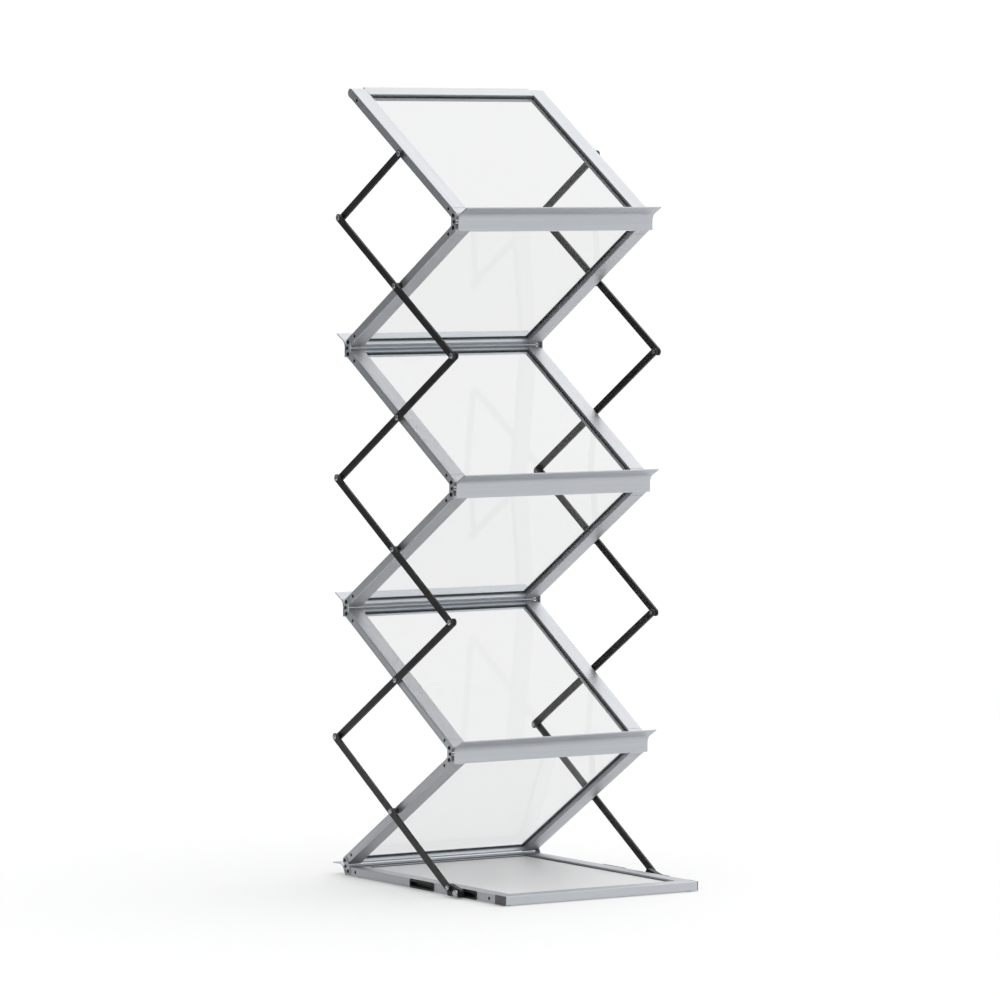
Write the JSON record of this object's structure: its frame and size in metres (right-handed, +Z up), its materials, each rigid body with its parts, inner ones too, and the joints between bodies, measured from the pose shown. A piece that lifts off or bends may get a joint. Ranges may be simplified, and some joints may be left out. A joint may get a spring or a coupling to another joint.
{
  "type": "folding brochure rack",
  "caption": "Zig-zag folding floor rack for brochures: clear sloping panels in aluminium frames, pocket lips at the folds and black scissor arms on each side.",
  "frame": {"origin": "centre of the footprint, on the floor", "axes": "+Z up, -Y to the front of the rack, where the front pockets open, and +X to the right seen from behind the front, across the rack"},
  "size_m": [0.4212, 0.5132, 1.3261],
  "materials": {
    "rail_aluminium": "satin anodised",
    "cross_aluminium": "satin anodised",
    "lip_aluminium": "satin anodised",
    "clear_sheet": "clear acrylic, faint grey",
    "base_sheet": "frosted acrylic",
    "glazing_rubber": "matte",
    "black_arm": "satin black",
    "black_plastic": "moulded",
    "grey_plastic": "moulded",
    "pins_chrome": "polished",
    "fastener_steel": "blackened",
    "foot_rubber": "matte"
  },
  "bodies": {
    "root": {"base_side_rails": "rail_aluminium", "base_cross_rails": "cross_aluminium", "base_sheet": "base_sheet", "base_glazing_strip": "glazing_rubber", "base_corner_caps": "grey_plastic", "base_feet": "foot_rubber", "base_fasteners": "fastener_steel", "slot_liners": "black_plastic", "lip1": "lip_aluminium"},
    "panel_1": {"panel1_side_rails": "rail_aluminium", "panel1_cross_rails": "cross_aluminium", "panel1_sheet": "clear_sheet", "panel1_glazing_strip": "glazing_rubber", "panel1_fasteners": "fastener_steel"},
    "arm_1": {"arms1": "black_arm", "foot_pins": "pins_chrome"},
    "panel_2": {"panel2_side_rails": "rail_aluminium", "panel2_cross_rails": "cross_aluminium", "panel2_sheet": "clear_sheet", "panel2_glazing_strip": "glazing_rubber", "panel2_fasteners": "fastener_steel"},
    "lip_2": {"lip2": "lip_aluminium"},
    "arm_2": {"arms2": "black_arm", "arms2_pins": "pins_chrome"},
    "panel_3": {"panel3_side_rails": "rail_aluminium", "panel3_cross_rails": "cross_aluminium", "panel3_sheet": "clear_sheet", "panel3_glazing_strip": "glazing_rubber", "panel3_fasteners": "fastener_steel"},
    "lip_3": {"lip3": "lip_aluminium"},
    "arm_3": {"arms3": "black_arm"},
    "panel_4": {"panel4_side_rails": "rail_aluminium", "panel4_cross_rails": "cross_aluminium", "panel4_sheet": "clear_sheet", "panel4_glazing_strip": "glazing_rubber", "panel4_fasteners": "fastener_steel"},
    "lip_4": {"lip4": "lip_aluminium"},
    "arm_4": {"arms4": "black_arm", "arms4_pins": "pins_chrome"},
    "panel_5": {"panel5_side_rails": "rail_aluminium", "panel5_cross_rails": "cross_aluminium", "panel5_sheet": "clear_sheet", "panel5_glazing_strip": "glazing_rubber", "panel5_fasteners": "fastener_steel"},
    "lip_5": {"lip5": "lip_aluminium"},
    "arm_5": {"arms5": "black_arm"},
    "panel_6": {"panel6_side_rails": "rail_aluminium", "panel6_cross_rails": "cross_aluminium", "panel6_sheet": "clear_sheet", "panel6_glazing_strip": "glazing_rubber", "panel6_fasteners": "fastener_steel", "top_end_caps": "grey_plastic"},
    "lip_6": {"lip6": "lip_aluminium"},
    "arm_6": {"arms6": "black_arm", "arms6_pins": "pins_chrome"},
    "shoe": {"shoes": "black_plastic"},
    "lock_left": {"lock_knob_left": "pins_chrome"},
    "lock_right": {"lock_knob_right": "pins_chrome"}
  },
  "joints": [
    {"name": "fold", "type": "hinge", "parent": "root", "child": "panel_1", "pos_m": [0, 0.21744, 0.02632], "axis": [1, 0, 0], "range_deg": [0, 32.4]},
    {"name": "lip_2_hinge", "type": "hinge", "parent": "panel_1", "child": "lip_2", "pos_m": [0, -0.09496, 0.22458], "axis": [1, 0, 0], "range_deg": [-32.42, 0]},
    {"name": "panel_2_hinge", "type": "hinge", "parent": "lip_2", "child": "panel_2", "pos_m": [0, -0.09496, 0.24458], "axis": [1, 0, 0], "range_deg": [-32.42, 0]},
    {"name": "lip_3_hinge", "type": "hinge", "parent": "panel_2", "child": "lip_3", "pos_m": [0, 0.21744, 0.44283], "axis": [1, 0, 0], "range_deg": [0, 32.42]},
    {"name": "panel_3_hinge", "type": "hinge", "parent": "lip_3", "child": "panel_3", "pos_m": [0, 0.21744, 0.46283], "axis": [1, 0, 0], "range_deg": [0, 32.42]},
    {"name": "lip_4_hinge", "type": "hinge", "parent": "panel_3", "child": "lip_4", "pos_m": [0, -0.09496, 0.66109], "axis": [1, 0, 0], "range_deg": [-32.42, 0]},
    {"name": "panel_4_hinge", "type": "hinge", "parent": "lip_4", "child": "panel_4", "pos_m": [0, -0.09496, 0.68109], "axis": [1, 0, 0], "range_deg": [-32.42, 0]},
    {"name": "lip_5_hinge", "type": "hinge", "parent": "panel_4", "child": "lip_5", "pos_m": [0, 0.21744, 0.87934], "axis": [1, 0, 0], "range_deg": [0, 32.42]},
    {"name": "panel_5_hinge", "type": "hinge", "parent": "lip_5", "child": "panel_5", "pos_m": [0, 0.21744, 0.89934], "axis": [1, 0, 0], "range_deg": [0, 32.42]},
    {"name": "lip_6_hinge", "type": "hinge", "parent": "panel_5", "child": "lip_6", "pos_m": [0, -0.09496, 1.0976], "axis": [1, 0, 0], "range_deg": [-32.42, 0]},
    {"name": "panel_6_hinge", "type": "hinge", "parent": "lip_6", "child": "panel_6", "pos_m": [0, -0.09496, 1.1176], "axis": [1, 0, 0], "range_deg": [-32.42, 0]},
    {"name": "arm_1_pivot", "type": "hinge", "parent": "panel_1", "child": "arm_1", "pos_m": [0, 0.06124, 0.12545], "axis": [1, 0, 0], "range_deg": [-62.12, 0]},
    {"name": "arm_2_pivot", "type": "hinge", "parent": "panel_2", "child": "arm_2", "pos_m": [0, 0.06124, 0.3437], "axis": [1, 0, 0], "range_deg": [0, 62.12]},
    {"name": "arm_3_pivot", "type": "hinge", "parent": "panel_3", "child": "arm_3", "pos_m": [0, 0.06124, 0.56196], "axis": [1, 0, 0], "range_deg": [-62.12, 0]},
    {"name": "arm_4_pivot", "type": "hinge", "parent": "panel_4", "child": "arm_4", "pos_m": [0, 0.06124, 0.78022], "axis": [1, 0, 0], "range_deg": [0, 62.12]},
    {"name": "arm_5_pivot", "type": "hinge", "parent": "panel_5", "child": "arm_5", "pos_m": [0, 0.06124, 0.99847], "axis": [1, 0, 0], "range_deg": [-62.12, 0]},
    {"name": "arm_6_pivot", "type": "hinge", "parent": "panel_6", "child": "arm_6", "pos_m": [0, 0.06124, 1.21673], "axis": [1, 0, 0], "range_deg": [0, 62.12]},
    {"name": "shoe_pivot", "type": "hinge", "parent": "arm_1", "child": "shoe", "pos_m": [0, -0.10994, 0.01632], "axis": [1, 0, 0], "range_deg": [0, 29.71]},
    {"name": "lock_left_pull", "type": "slide", "parent": "shoe", "child": "lock_left", "axis": [-1, 0, 0], "range_m": [0, 0.004], "stiffness_N_per_m": 1500, "springref_m": -0.002},
    {"name": "lock_right_pull", "type": "slide", "parent": "shoe", "child": "lock_right", "axis": [1, 0, 0], "range_m": [0, 0.004], "stiffness_N_per_m": 1500, "springref_m": -0.002}
  ],
  "couplings": [
    {"joint": "lip_2_hinge", "follows": "fold", "ratio": -1},
    {"joint": "panel_2_hinge", "follows": "fold", "ratio": -1},
    {"joint": "lip_3_hinge", "follows": "fold", "ratio": 1},
    {"joint": "panel_3_hinge", "follows": "fold", "ratio": 1},
    {"joint": "lip_4_hinge", "follows": "fold", "ratio": -1},
    {"joint": "panel_4_hinge", "follows": "fold", "ratio": -1},
    {"joint": "lip_5_hinge", "follows": "fold", "ratio": 1},
    {"joint": "panel_5_hinge", "follows": "fold", "ratio": 1},
    {"joint": "lip_6_hinge", "follows": "fold", "ratio": -1},
    {"joint": "panel_6_hinge", "follows": "fold", "ratio": -1},
    {"joint": "arm_1_pivot", "follows": "fold", "ratio": -1.9165},
    {"joint": "arm_2_pivot", "follows": "fold", "ratio": 1.9165},
    {"joint": "arm_3_pivot", "follows": "fold", "ratio": -1.9165},
    {"joint": "arm_4_pivot", "follows": "fold", "ratio": 1.9165},
    {"joint": "arm_5_pivot", "follows": "fold", "ratio": -1.9165},
    {"joint": "arm_6_pivot", "follows": "fold", "ratio": 1.9165},
    {"joint": "shoe_pivot", "follows": "fold", "ratio": 0.91652}
  ]
}
